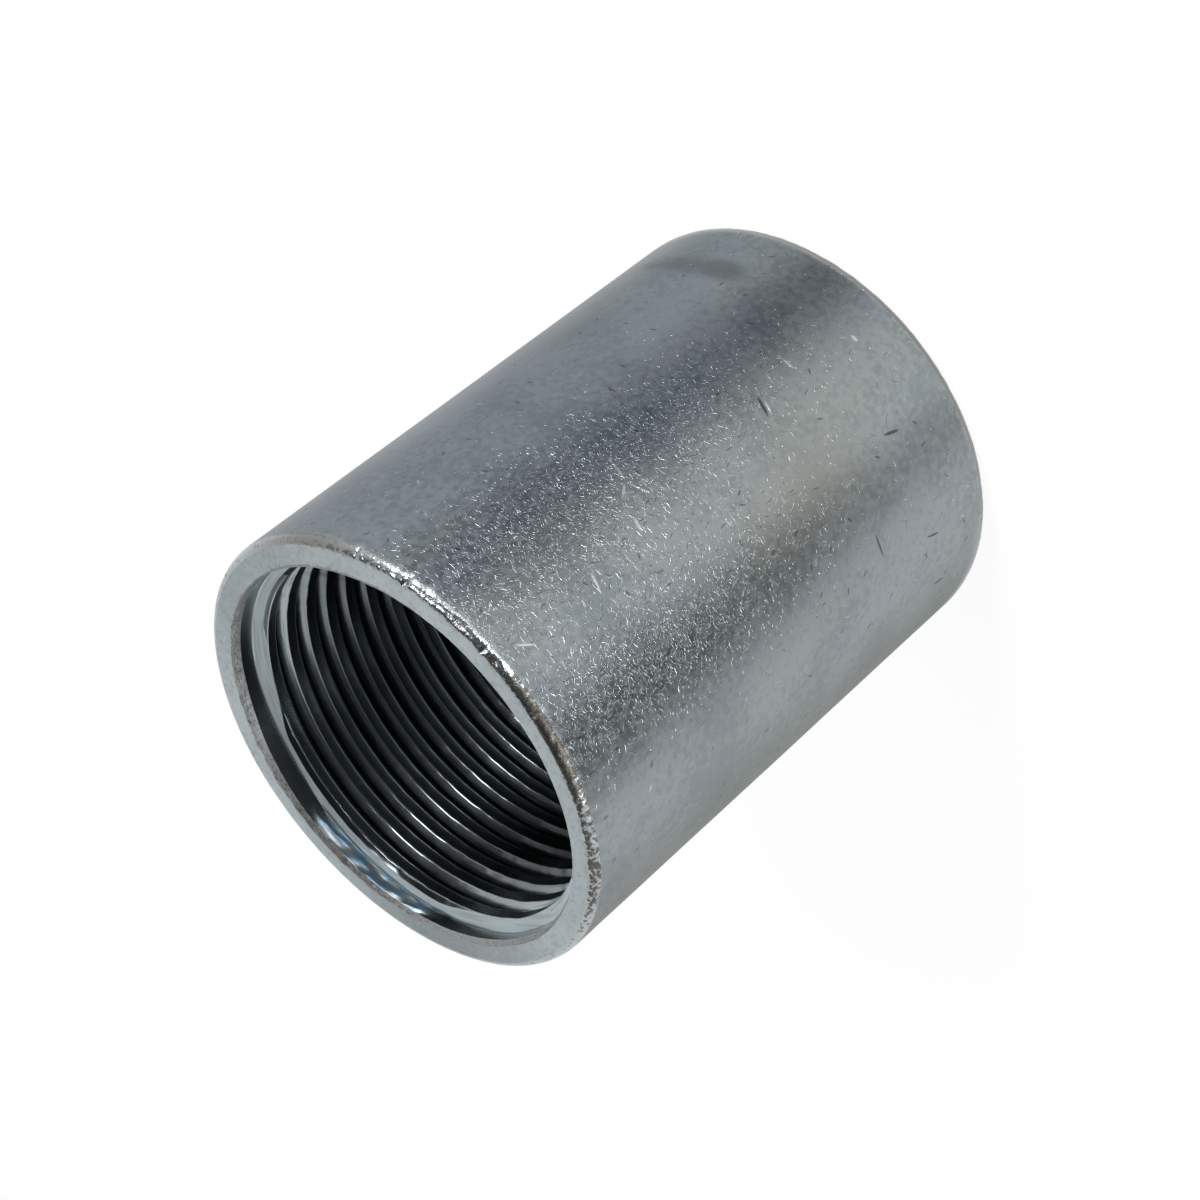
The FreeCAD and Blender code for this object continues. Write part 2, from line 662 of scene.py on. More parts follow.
def scuff_group():
    """Short straight or bent scuffs, one to a cell of a random layout, each with its own direction."""
    group, given, result = new_group(
        "short_scuffs",
        {"Surface": ORIGIN, "Cell": 1.0, "Length": 0.4, "Width": 0.1, "Share": 0.5, "Shift": 0.0},
        {"Mask": VALUE, "Chance": VALUE},
    )
    grid = scaled(group, given["Surface"], calc(group, "DIVIDE", 1.0, given["Cell"]))
    offset = place(group, "ShaderNodeCombineXYZ", {"X": given["Shift"], "Y": given["Shift"]})
    spot = move(group, "ADD", grid, offset.outputs[0])
    cells = place(group, "ShaderNodeTexVoronoi", {"Vector": spot, "Scale": 1.0}, voronoi_dimensions="2D")
    chances = place(group, "ShaderNodeSeparateColor", {0: cells.outputs["Color"]}).outputs
    local = move(group, "SUBTRACT", spot, cells.outputs["Position"])
    turned = turned_by(group, local, times(group, chances[0], 2 * math.pi))
    along = place(group, "ShaderNodeSeparateXYZ", {0: turned}).outputs
    bend = add_share(group, chances[2], SCUFF_BEND, -SCUFF_BEND / 2)
    arc = times(group, times(group, along[0], along[0]), bend)
    across = calc(group, "ADD", along[1], arc)
    within = dome(group, calc(group, "DIVIDE", along[0], given["Length"]))
    beside = dome(group, calc(group, "DIVIDE", across, given["Width"]))
    there = calc(group, "LESS_THAN", chances[1], given["Share"])
    mask = times(group, times(group, within, beside), there)
    group.links.new(mask, result["Mask"])
    group.links.new(chances[2], result["Chance"])
    return group


def patch_group():
    """A soft round or slanting patch on the unrolled surface, 1 in the middle and 0 at its reach."""
    group, given, result = new_group(
        "worn_patch",
        {"Surface": ORIGIN, "Centre": ORIGIN, "Reach": (1.0, 1.0, 1.0), "Slant": 0.0},
        {"Mask": VALUE},
    )
    local = move(group, "SUBTRACT", given["Surface"], given["Centre"])
    share = move(group, "DIVIDE", turned_by(group, local, given["Slant"]), given["Reach"])
    group.links.new(spread(group, length_of(group, share), 1.0, 0.0), result["Mask"])
    return group


def bloom_group():
    """Uneven zinc: slow clouds of tone, a fine mottle, and the blue to straw tint of the passivation."""
    group, given, result = new_group(
        "zinc_bloom",
        {"Place": ORIGIN, "Grain": 1.0},
        {"Cloud": VALUE, "Mottle": VALUE, "Tint": COLOUR},
    )
    where = scaled(group, given["Place"], 1.0 / MM)
    tint_pattern = clouds(group, move(group, "MULTIPLY", where, (1.0, 1.0, 0.35)), 0.16, 0.0)
    ramp = place(group, "ShaderNodeValToRGB", {0: tint_pattern})
    stops = ramp.color_ramp.elements
    stops[0].position = 0.36
    stops[0].color = FILM_BLUISH
    stops[1].position = 0.66
    stops[1].color = FILM_STRAW
    stops.new(0.5).color = FILM_CLEAR
    group.links.new(clouds(group, where, 0.13, 2.0, 0.6), result["Cloud"])
    group.links.new(clouds(group, where, given["Grain"], 2.0, 0.6), result["Mottle"])
    group.links.new(ramp.outputs[0], result["Tint"])
    return group


# Colours of the zinc's film and of the five finishes, painted shade, glints and reflections among them
FILM_BLUISH = (0.985, 0.995, 1.02, 1.0)
FILM_CLEAR = (0.99, 1.0, 1.0, 1.0)
FILM_STRAW = (1.01, 1.012, 0.98, 1.0)
SATIN_DARK = (0.258, 0.284, 0.296, 1.0)
SATIN_PALE = (0.34, 0.368, 0.377, 1.0)
STRAW = (0.36, 0.365, 0.3, 1.0)
SCUFF_AND_GLINT_BRIGHT = (0.76, 0.8, 0.82, 1.0)
NICK_AND_SHADE_DARK = (0.07, 0.075, 0.078, 1.0)
SMUDGE_GREY = (0.13, 0.13, 0.128, 1.0)
RIM_DARK = (0.38, 0.42, 0.435, 1.0)
RIM_PALE = (0.45, 0.49, 0.505, 1.0)
RUBBED_AND_SHADE_BROWN = (0.17, 0.158, 0.14, 1.0)
GRIME_AND_REFLECTION_BROWN = (0.08, 0.066, 0.05, 1.0)
FACE_DARK = (0.395, 0.445, 0.465, 1.0)
FACE_PALE = (0.455, 0.51, 0.53, 1.0)
FACE_SHADE_GREY = (0.19, 0.225, 0.235, 1.0)
FACE_STAIN = (0.27, 0.285, 0.285, 1.0)
FACE_SPECK = (0.17, 0.16, 0.148, 1.0)
FACE_BRIGHT = (0.6, 0.65, 0.68, 1.0)
TORN_PALE = (0.52, 0.54, 0.54, 1.0)
TORN_SHADE_DARK = (0.14, 0.136, 0.128, 1.0)
BORE_SHADED_DEEP = (0.27, 0.31, 0.325, 1.0)
BORE_NEAR = (0.4, 0.45, 0.465, 1.0)
BORE_DARK = (0.03, 0.034, 0.036, 1.0)
RUN_IN_PALE = (0.72, 0.79, 0.81, 1.0)
RUN_IN_SHADE = (0.05, 0.056, 0.06, 1.0)
RELIEF_SKY_PALE = (0.62, 0.7, 0.74, 1.0)
RELIEF_SKY_BLUE = (0.36, 0.58, 0.78, 1.0)

# Patches: angle, height, reach in degrees round the sleeve, reach in millimetres along it
STRAW_PATCH = (-100.0, 19.0, 22.0, 15.0)
UPPER_BAND = (-74.0, 36.0, 30.0, 33.0)
LOWER_BAND = (-106.0, 38.0, 23.0, 31.0)
BACK_BAND = (92.0, 25.0, 70.0, 26.0)
SMUDGE = (-31.0, 6.7, 24.0, 2.5)
SMUDGE_END = (-46.5, 6.4, 9.0, 2.4)
# Of the next four rim patches, the first is wear from rubbing, the second painted shade on the lower rim,
# and the last two a painted brown and dark reflection.
RUBBED_RIM = (-32.0, LENGTH, 32.0, 20.0)
SHADED_LOWER_RIM = (-90.0, 0.0, 150.0, 6.0)
BROWN_REFLECTION_RIM = (-108.0, LENGTH, 28.0, 20.0)
DARK_REFLECTION_RIM = (-143.0, LENGTH, 32.0, 20.0)
# The next two patches are painted shade on the end face.
SHADED_FACE_BACK = (138.0, LENGTH, 60.0, 20.0)
SHADED_FACE = (0.0, LENGTH, 75.0, 20.0)
# Painted shade over one side of the torn mouth.
SHADED_MOUTH = (102.0, LENGTH, 46.0, 30.0)
# This patch dents the relief and carries its painted pale-blue sky reflection.
DENTED_SKY_RELIEF = (110.0, LENGTH - 1.0, 34.0, 1.5)
# The next two patches widen the painted shade under the first crest.
CUT_RUN_IN = (99.0, LENGTH - 2.2, 56.0, 8.0)
UNCUT_RUN_IN = (8.0, LENGTH - 2.2, 34.0, 8.0)
# The next two patches are painted shade in the bore.
SHADED_BORE = (25.0, LENGTH - 12.0, 60.0, 10.0)
SHADED_BORE_SIDE = (148.0, LENGTH - 11.0, 32.0, 10.0)

# Layers of scuffs: cell in millimetres, length and width as shares of it, shift of the layout
SHORT_SCUFFS = (0.28, 0.65, 0.14, 3.0)
LONG_SCUFFS = (0.54, 0.75, 0.08, 17.0)
WALL_SPECKS = (2.6, 0.13, 0.04, 31.0)
FACE_SCUFFS = (0.9, 0.4, 0.07, 13.0)

# Single marks on the wall: angle, height, reach along the mark, reach across it, slant
DARK_NICKS = (
    (-81.1, 16.5, 1.4, 0.25, 160.0),
    (-104.5, 8.0, 1.3, 0.22, 75.0),
    (-133.5, 7.3, 1.3, 0.17, 74.0),
    (-149.7, 6.3, 1.2, 0.2, 81.0),
    (-124.8, 13.7, 1.7, 0.16, 6.0),
)
# Long scratches, drawn lighter: partly burnished metal and partly a painted glint.
LONG_SCRATCHES = (
    (-71.1, 30.1, 2.1, 0.17, 164.0),
    (-78.0, 30.1, 1.4, 0.16, 25.0),
    (-76.2, 31.2, 0.95, 0.18, 126.0),
    (-77.0, 11.7, 0.9, 0.19, 2.0),
    (-87.9, 38.6, 1.2, 0.16, 164.0),
    (-84.0, 32.5, 0.85, 0.22, 161.0),
    (-88.8, 46.5, 1.2, 0.15, 58.0),
    (-82.1, 5.2, 0.5, 0.28, 4.0),
    (-82.0, 16.2, 1.0, 0.13, 160.0),
)

SCUFFS = scuff_group()
PATCH = patch_group()
BLOOM = bloom_group()


def new_finish(name):
    """A metal material with one Principled shader; returns it, its tree and two coordinates."""
    finish = bpy.data.materials.new(name)
    finish.use_nodes = True
    tree = finish.node_tree
    tree.nodes["Principled BSDF"].inputs["Metallic"].default_value = 1.0
    flat = place(tree, "ShaderNodeUVMap", uv_map="unrolled").outputs[0]
    spot = place(tree, "ShaderNodeTexCoord").outputs["Object"]
    return finish, tree, flat, spot


def coat(finish, colour, rough, height, depth):
    """Gives a finish its colour, its roughness and its bump, depth millimetres high."""
    tree = finish.node_tree
    sockets = tree.nodes["Principled BSDF"].inputs
    bump = place(tree, "ShaderNodeBump", {"Strength": 1.0, "Distance": depth * MM, "Height": height})
    tree.links.new(colour, sockets["Base Color"])
    tree.links.new(bump.outputs[0], sockets["Normal"])
    feed(tree, rough, sockets["Roughness"])
    return finish


def patch_mask(tree, flat, turn, height, reach, slant=0.0):
    """The mask of one patch, with its reach in millimetres and its slant in degrees."""
    centre = (math.radians(turn + 180.0) * OUTER_RADIUS, height, 0.0)
    wires = {"Surface": flat, "Centre": centre, "Reach": (*reach, 1.0), "Slant": math.radians(-slant)}
    return use_group(tree, PATCH, wires)[0]


def patch(tree, flat, where):
    """The mask of one soft patch."""
    turn, height, reach_turn, reach_height = where
    return patch_mask(tree, flat, turn, height, (math.radians(reach_turn) * OUTER_RADIUS, reach_height))


def wall_marks(tree, flat, marks):
    """One mask for a list of single marks."""
    masks = []
    for turn, height, along, across, slant in marks:
        masks.append(patch_mask(tree, flat, turn, height, (along, across), slant))
    return spread(tree, any_of(tree, masks), 0.15, 0.55)


def scuffs(tree, flat, layer, share):
    """One layer of short scuffs; share is how many of its cells have one."""
    cell, length, width, shift = layer
    wires = {"Surface": flat, "Cell": cell, "Length": length, "Width": width, "Share": share, "Shift": shift}
    return use_group(tree, SCUFFS, wires)


def scuffed_wall():
    """The outside: satin zinc, tumbled and scuffed, with a smudge, nick marks, a passivation tint, and
    painted glint and shade on the scuffs.
    """
    finish, tree, flat, spot = new_finish("scuffed_wall")
    bloom = use_group(tree, BLOOM, {"Place": spot, "Grain": 1.7})
    patchy = calc(tree, "ADD", bloom["Cloud"], bloom["Mottle"])
    zinc = mix(tree, spread(tree, patchy, 0.75, 1.25), SATIN_DARK, SATIN_PALE)
    zinc = mix(tree, 1.0, zinc, bloom["Tint"], "MULTIPLY")
    zinc = tint(tree, zinc, patch(tree, flat, STRAW_PATCH), 0.35, STRAW)

    back = times(tree, patch(tree, flat, BACK_BAND), 0.55)
    busy = any_of(tree, [patch(tree, flat, UPPER_BAND), patch(tree, flat, LOWER_BAND), back])
    share = add_share(tree, busy, 0.95, 0.05)
    short = scuffs(tree, flat, SHORT_SCUFFS, share)
    long = scuffs(tree, flat, LONG_SCUFFS, times(tree, share, 0.85))
    # Painted glint: the lighter colour of the bright scuffs and scratches is partly burnished metal and
    # partly a painted highlight.
    bright = times(tree, short["Mask"], spread(tree, short["Chance"], 0.4, 1.0, 0.0, 0.6))
    lit = times(tree, long["Mask"], spread(tree, long["Chance"], 0.4, 1.0))
    bright = any_of(tree, [bright, lit, wall_marks(tree, flat, LONG_SCRATCHES)])
    zinc = tint(tree, zinc, bright, 0.75, SCUFF_AND_GLINT_BRIGHT)

    specks = scuffs(tree, flat, WALL_SPECKS, 0.25)
    # Painted shade: the dark side of some long scuffs, laid in the same dark as the real nicks and specks.
    shadowed = spread(tree, long["Mask"], 0.05, 0.5)
    shadowed = times(tree, shadowed, spread(tree, long["Chance"], 0.4, 0.25, 0.0, 0.7))
    nicks_and_shade = any_of(tree, [wall_marks(tree, flat, DARK_NICKS), specks["Mask"], shadowed])
    zinc = tint(tree, zinc, nicks_and_shade, 0.85, NICK_AND_SHADE_DARK)
    smudge = add_share(tree, patch(tree, flat, SMUDGE_END), 0.9, patch(tree, flat, SMUDGE))
    smudge = add_share(tree, patchy, 1.3, smudge)
    zinc = tint(tree, zinc, spread(tree, smudge, 1.45, 2.25), 0.6, SMUDGE_GREY)

    dents = calc(tree, "MAXIMUM", short["Mask"], long["Mask"])
    rough = spread(tree, bloom["Mottle"], 0.3, 0.7, 0.27, 0.35)
    rough = add_share(tree, dents, -0.1, rough)
    height = add_share(tree, bloom["Mottle"], 0.8, times(tree, dents, -1.0))
    return coat(finish, zinc, rough, height, 0.012)


def end_run(tree, flat):
    """Distance along the section past the end of the wall, the same at both ends."""
    height = place(tree, "ShaderNodeSeparateXYZ", {0: flat}).outputs[1]
    from_middle = calc(tree, "ABSOLUTE", calc(tree, "SUBTRACT", height, LENGTH / 2))
    return calc(tree, "SUBTRACT", from_middle, LENGTH / 2)


def blow_mark(tree):
    """How hard a blow or a tear has sunk the surface, as stored on the mesh."""
    return place(tree, "ShaderNodeAttribute", attribute_name="blow").outputs["Fac"]


def hammered_rim():
    """The outer rim: beaten bright on one side, with dirt and a painted brown and dark reflection further
    round, plain on the far side, painted shade on the lower end.
    """
    finish, tree, flat, spot = new_finish("hammered_rim")
    bloom = use_group(tree, BLOOM, {"Place": spot, "Grain": 3.2})
    zinc = mix(tree, bloom["Cloud"], RIM_DARK, RIM_PALE)
    # Painted shade over most of the lower rim's round; the patch on the upper rim is wear from rubbing.
    rubbed_and_shaded = any_of(tree, [patch(tree, flat, RUBBED_RIM), patch(tree, flat, SHADED_LOWER_RIM)])
    zinc = tint(tree, zinc, rubbed_and_shaded, 0.75, RUBBED_AND_SHADE_BROWN)
    # Dirt in the dents and the mottle, plus a painted brown and dark reflection in two patches round one
    # side.
    dirt_and_reflection = add_share(tree, blow_mark(tree), 0.2, bloom["Mottle"])
    dirt_and_reflection = add_share(tree, patch(tree, flat, BROWN_REFLECTION_RIM), 0.36, dirt_and_reflection)
    dirt_and_reflection = add_share(tree, patch(tree, flat, DARK_REFLECTION_RIM), 0.2, dirt_and_reflection)
    dirt_and_reflection = add_share(tree, end_run(tree, flat), 0.1, dirt_and_reflection)
    grime_and_reflection = spread(tree, dirt_and_reflection, 0.62, 0.84)
    zinc = tint(tree, zinc, grime_and_reflection, 0.9, GRIME_AND_REFLECTION_BROWN)
    rough = spread(tree, grime_and_reflection, 0.0, 1.0, 0.24, 0.42)
    return coat(finish, zinc, rough, bloom["Mottle"], 0.055)


def faced_ring():
    """The end faces: turned flat and satin, with painted shade on two sides, specks along both edges and a
    few scuffs.
    """
    finish, tree, flat, spot = new_finish("faced_ring")
    bloom = use_group(tree, BLOOM, {"Place": spot, "Grain": 2.6})
    zinc = mix(tree, spread(tree, bloom["Cloud"], 0.3, 0.7), FACE_DARK, FACE_PALE)
    # Painted shade: two darker patches round the face, not a change of finish.
    shaded = times(tree, patch(tree, flat, SHADED_FACE), 0.5)
    painted_face_shade = any_of(tree, [patch(tree, flat, SHADED_FACE_BACK), shaded])
    zinc = tint(tree, zinc, painted_face_shade, 0.7, FACE_SHADE_GREY)
    zinc = tint(tree, zinc, spread(tree, bloom["Mottle"], 0.5, 0.75), 0.35, FACE_STAIN)
    middle = (OUTER_RADIUS - RIM_FAR_WIDTH + MOUTH_RADIUS) / 2
    half = (OUTER_RADIUS - RIM_FAR_WIDTH - MOUTH_RADIUS) / 2
    radius = calc(tree, "ADD", end_run(tree, flat), OUTER_RADIUS)
    edge = calc(tree, "DIVIDE", calc(tree, "ABSOLUTE", calc(tree, "SUBTRACT", radius, middle)), half)
    worn = add_share(tree, calc(tree, "POWER", edge, 8.0), 0.14, bloom["Mottle"])
    specks = spread(tree, worn, 0.68, 0.82)
    zinc = tint(tree, zinc, specks, 0.6, FACE_SPECK)
    marks = scuffs(tree, flat, FACE_SCUFFS, 0.3)["Mask"]
    zinc = tint(tree, zinc, marks, 0.3, FACE_BRIGHT)
    rough = spread(tree, bloom["Mottle"], 0.3, 0.7, 0.38, 0.48)
    sunk = add_share(tree, marks, -1.0, times(tree, specks, -0.8))
    return coat(finish, zinc, rough, add_share(tree, bloom["Mottle"], 0.3, sunk), 0.008)


def torn_mouth():
    """The torn edge inside the face: pale metal, with painted shade where it is sunk and over one side."""
    finish, tree, flat, _ = new_finish("torn_mouth")
    along_edge = move(tree, "MULTIPLY", flat, (0.55 * MM, 1.3 * MM, 0.0))
    bloom = use_group(tree, BLOOM, {"Place": along_edge, "Grain": 4.0})
    # Painted shade: darker where the edge is sunk and over one side.
    sunk = add_share(tree, blow_mark(tree), 0.3, bloom["Mottle"])
    sunk = add_share(tree, patch(tree, flat, SHADED_MOUTH), 0.2, sunk)
    zinc = mix(tree, spread(tree, sunk, 0.45, 0.88), TORN_PALE, TORN_SHADE_DARK)
    return coat(finish, zinc, 0.55, bloom["Mottle"], 0.06)


def above_crest(tree, radius, low, high, *to):
    """1 where a radius stands a height in millimetres above the crests, 0 below a lower one."""
    return spread(tree, radius, (CREST_RADIUS + low) * MM, (CREST_RADIUS + high) * MM, *to)


def run_in_masks(tree, flat, depth, radius):
    """Masks of the run-in cone: the pale, matt part and the part under the first crest that takes painted
    shade.
    """
    cone = times(tree, spread(tree, depth, 1.35, 1.5), spread(tree, depth, 3.0, 2.8))
    cone = times(tree, cone, above_crest(tree, radius, 0.02, 0.08))
    below = spread(tree, radius, (RELIEF_RADIUS - 0.01) * MM, (RELIEF_RADIUS - 0.14) * MM)
    cone = times(tree, cone, below)
    cut = spread(tree, patch(tree, flat, CUT_RUN_IN), 0.05, 0.4)
    uncut = spread(tree, patch(tree, flat, UNCUT_RUN_IN), 0.1, 0.5, 0.0, 0.6)
    lowered = add_share(tree, any_of(tree, [cut, uncut]), -0.42 * MM, radius)
    matt = times(tree, cone, above_crest(tree, lowered, 0.02, 0.08))
    return matt, calc(tree, "SUBTRACT", cone, matt)


def tapped_bore():
    """The bore: plated metal, drawn lines and a pale, matt run-in, with painted shade and a painted
    pale-blue sky reflection.
    """
    finish, tree, flat, spot = new_finish("tapped_bore")
    depth = times(tree, end_run(tree, flat), -1.0)
    radius = length_of(tree, move(tree, "MULTIPLY", spot, (1.0, 1.0, 0.0)))
    lines = clouds(tree, move(tree, "MULTIPLY", flat, (0.2, 9.0, 1.0)), 1.0, 1.0)
    ripple = clouds(tree, move(tree, "MULTIPLY", flat, (0.65, 1.4, 1.0)), 1.0, 0.0)
    # Painted shade: darker further into the bore.
    zinc = mix(tree, spread(tree, depth, 14.0, 3.5), BORE_SHADED_DEEP, BORE_NEAR)
    matt, under = run_in_masks(tree, flat, depth, radius)
    zinc = mix(tree, matt, zinc, RUN_IN_PALE)
    # Painted shade on the part of the cone under the first crest.
    zinc = tint(tree, zinc, under, 0.85, RUN_IN_SHADE)

    # Painted reflection: pale blue sky laid on one side of the relief, over real dents.
    rolled = spread(tree, patch(tree, flat, DENTED_SKY_RELIEF), 0.1, 0.6)
    tint_pattern = times(tree, rolled, spread(tree, radius, (RELIEF_RADIUS - 0.1) * MM, RELIEF_RADIUS * MM))
    zinc = tint(tree, zinc, tint_pattern, 0.85, RELIEF_SKY_PALE)
    zinc = mix(tree, times(tree, tint_pattern, spread(tree, ripple, 0.45, 0.55)), zinc, RELIEF_SKY_BLUE)

    drawn = spread(tree, lines, 0.48, 0.62, 0.0, 0.35)
    drawn = times(tree, drawn, spread(tree, matt, 0.0, 1.0, 1.0, 0.3))
    # Painted shade towards the thread roots and in two patches; the drawn lines are real marks.
    root = above_crest(tree, radius, 0.5, 0.82, 0.0, 0.7)
    root = times(tree, root, spread(tree, depth, 2.6, 3.1))
    shaded = times(tree, patch(tree, flat, SHADED_BORE), 0.6)
    shaded_side = times(tree, patch(tree, flat, SHADED_BORE_SIDE), 0.92)
    zinc = mix(tree, any_of(tree, [drawn, root, shaded, shaded_side]), zinc, BORE_DARK)

    rough = add_share(tree, matt, 0.55, spread(tree, lines, 0.3, 0.7, 0.2, 0.27))
    rough = add_share(tree, tint_pattern, 0.2, rough)
    return coat(finish, zinc, rough, times(tree, rolled, ripple), 0.26)


# Studio: a white floor, and a sheet just above it that only reflections see. Each line of the sheet
# is the one that the wall mirrors at one angle, so a streak is placed by the wall angle it shows at.
FLOOR_HALF = 3000.0
FLOOR_GLOW = 0.84
FLOOR_WHITE = 0.3
SHEET_HEIGHT = 0.5
SHEET_REACHES = (0.0, 3.0, 8.0, 16.0, 28.0, 45.0, 70.0, 110.0)
SHEET_FIRST = -178.0
SHEET_STEP = 2.0
SHEET_LINES = 89
SHEET_GAP = 0.3  # between the wall and the sheet
SHEET_FAR = 50.0  # distance from the wall that counts as far out
# Streaks: wall angle, half width at the foot and far out, depth at the foot and far out, and how much
# red, green and blue each takes
STREAKS = (
    (-113.5, 12.0, 20.0, 0.28, 1.0, (1.0, 1.0, 1.0)),
    (-65.0, 21.0, 23.0, 0.72, 0.88, (1.0, 0.98, 0.93)),
    (-84.0, 17.0, 17.0, 0.14, 0.14, (1.0, 1.0, 1.0)),
    (-36.0, 30.0, 30.0, 0.44, 0.46, (1.0, 0.92, 0.8)),
    (-26.0, 15.0, 15.0, 0.14, 0.14, (1.0, 0.95, 0.9)),
    (-6.0, 26.0, 26.0, 0.36, 0.36, (1.0, 0.96, 0.92)),
    (-170.0, 30.0, 30.0, 0.6, 0.6, (1.0, 0.97, 1.03)),
    (-136.0, 34.0, 34.0, 0.1, 0.1, (1.0, 1.0, 1.0)),
)
# Bright strip that the far opening of the bore lends to the thread: x from and to, and y up to
BORE_STRIP = (3.6, 6.2)
BORE_STRIP_END = 4.0
BORE_TINT = (0.9, 0.96, 1.0)
BORE_STEPS = 64
BORE_FLOOR_GAP = 0.2  # between the disc and the relief
BORE_FLOOR_HEIGHT = 0.3
BORE_SHADE = 0.26
BORE_SHADE_SEEN = (0.3, 0.31, 0.32, 1.0)


def bare_material(name):
    """A material with an empty tree; returns it, the tree and the socket its shader goes to."""
    paint = bpy.data.materials.new(name)
    paint.use_nodes = True
    tree = paint.node_tree
    tree.nodes.remove(tree.nodes["Principled BSDF"])
    return paint, tree, tree.nodes["Material Output"].inputs["Surface"]


def floor_paint():
    """White where the camera or a reflection sees it, with a pale diffuse part that keeps the shadow."""
    paint, tree, surface = bare_material("white_floor")
    path = place(tree, "ShaderNodeLightPath")
    seen = calc(tree, "ADD", path.outputs["Is Camera Ray"], path.outputs["Is Glossy Ray"], clamp=True)
    seen = calc(tree, "ADD", seen, path.outputs["Is Transmission Ray"], clamp=True)
    strength = calc(tree, "MULTIPLY", seen, FLOOR_GLOW)
    glow = place(tree, "ShaderNodeEmission", {"Color": (1.0, 1.0, 1.0, 1.0), "Strength": strength})
    pale = place(tree, "ShaderNodeBsdfDiffuse", {"Color": (FLOOR_WHITE, FLOOR_WHITE, FLOOR_WHITE, 1.0)})
    both = place(tree, "ShaderNodeAddShader", {0: glow.outputs[0], 1: pale.outputs[0]})
    tree.links.new(both.outputs[0], surface)
    return paint


def shade_paint(name, seen=None):
    """Glows in the shades stored on its points, or in one plain shade where the camera sees it."""
    paint, tree, surface = bare_material(name)
    colour = place(tree, "ShaderNodeAttribute", attribute_name="shade").outputs["Color"]
    if seen:
        path = place(tree, "ShaderNodeLightPath")
        colour = mix(tree, path.outputs["Is Camera Ray"], colour, seen)
    glow = place(tree, "ShaderNodeEmission", {"Color": colour, "Strength": 1.0})
    tree.links.new(glow.outputs[0], surface)
    return paint


def stage_object(name, points, faces, paint, shades=None):
    """A mesh that belongs to the studio and not to the part, with a shade for each point if given."""
    mesh = bpy.data.meshes.new(name)
    mesh.from_pydata([Vector(point) * MM for point in points], [], faces)
    mesh.materials.append(paint)
    if shades:
        layer = mesh.color_attributes.new("shade", "FLOAT_COLOR", "POINT")
        for spot, shade in zip(layer.data, shades):
            spot.color = (*shade, 1.0)
    made = add_object(name, mesh)
    return made


def grid_faces(rows, columns):
    """Quads of a grid whose points run row by row."""
    faces = []
    for row in range(rows - 1):
        for column in range(columns - 1):
            corner = row * columns + column
            faces.append((corner, corner + 1, corner + columns + 1, corner + columns))
    return faces


def studio_floor():
    """One large flat floor."""
    corners = [(-1, -1), (1, -1), (1, 1), (-1, 1)]
    points = [(x * FLOOR_HALF, y * FLOOR_HALF, 0.0) for x, y in corners]
    stage_object("studio_floor", points, [(0, 1, 2, 3)], floor_paint())


def sheet_shade(turn, reach):
    """Shade of the reflection sheet on the line that one wall angle mirrors, at a distance from the wall."""
    shade = [1.0, 1.0, 1.0]
    away = min(1.0, reach / SHEET_FAR)
    for centre, half_near, half_far, near, far, takes in STREAKS:
        half = half_near + (half_far - half_near) * away
        dip = (near + (far - near) * away) * hump(turn, centre, half)
        shade = [value * max(0.0, 1.0 - dip * taken) for value, taken in zip(shade, takes)]
    return shade


def reflection_sheet():
    """The sheet of streaks round the foot of the sleeve, unseen by the camera."""
    lines = [SHEET_FIRST + SHEET_STEP * step for step in range(SHEET_LINES)]
    points = []
    shades = []
    for turn in lines:
        angle = math.radians(turn)
        foot = Vector((math.cos(angle), math.sin(angle), 0.0)) * (OUTER_RADIUS + SHEET_GAP)
        heading = math.radians(90.0 + 2.0 * turn)
        along = Vector((math.cos(heading), math.sin(heading), 0.0))
        for reach in SHEET_REACHES:
            points.append(foot + along * reach + Vector((0.0, 0.0, SHEET_HEIGHT)))
            shades.append(sheet_shade(turn, reach))
    faces = grid_faces(len(lines), len(SHEET_REACHES))
    paint = shade_paint("reflection_sheet")
    sheet = stage_object("reflection_sheet", points, faces, paint, shades)
    sheet.visible_camera = False
    sheet.visible_diffuse = False
    sheet.visible_shadow = False


def bore_shade(x, y):
    """Shade of the bore's floor as the thread mirrors it."""
    value = 1.0 if BORE_STRIP[0] <= x <= BORE_STRIP[1] and y < BORE_STRIP_END else BORE_SHADE
    return tuple(part * value for part in BORE_TINT)


def bore_floor():
    """A glowing disc on the floor inside the bore: painted shade, one plain grey to the camera, with a
    painted bright strip.
    """
    half = RELIEF_RADIUS - BORE_FLOOR_GAP
    spots = [half * (2.0 * step / (BORE_STEPS - 1) - 1.0) for step in range(BORE_STEPS)]
    points = []
    for y in spots:
        span = math.sqrt(max(0.0, half * half - y * y)) / half
        points.extend((x * span, y, BORE_FLOOR_HEIGHT) for x in spots)
    shades = [bore_shade(x, y) for x, y, _ in points]
    faces = grid_faces(BORE_STEPS, BORE_STEPS)
    paint = shade_paint("bore_floor", BORE_SHADE_SEEN)
    disc = stage_object("bore_floor", points, faces, paint, shades)
    disc.visible_shadow = False


def area_lamp(name, spot, aim, width, height, power):
    """A soft rectangular lamp at one place, aimed at another, unseen by the camera."""
    light = bpy.data.lights.new(name, "AREA")
    light.shape = "RECTANGLE"
    light.energy = power
    light.size = width * MM
    light.size_y = height * MM
    lamp = add_object(name, light)
    lamp.location = Vector(spot) * MM
    lamp.rotation_euler = (Vector(aim) - Vector(spot)).to_track_quat("-Z", "Y").to_euler()
    lamp.visible_camera = False


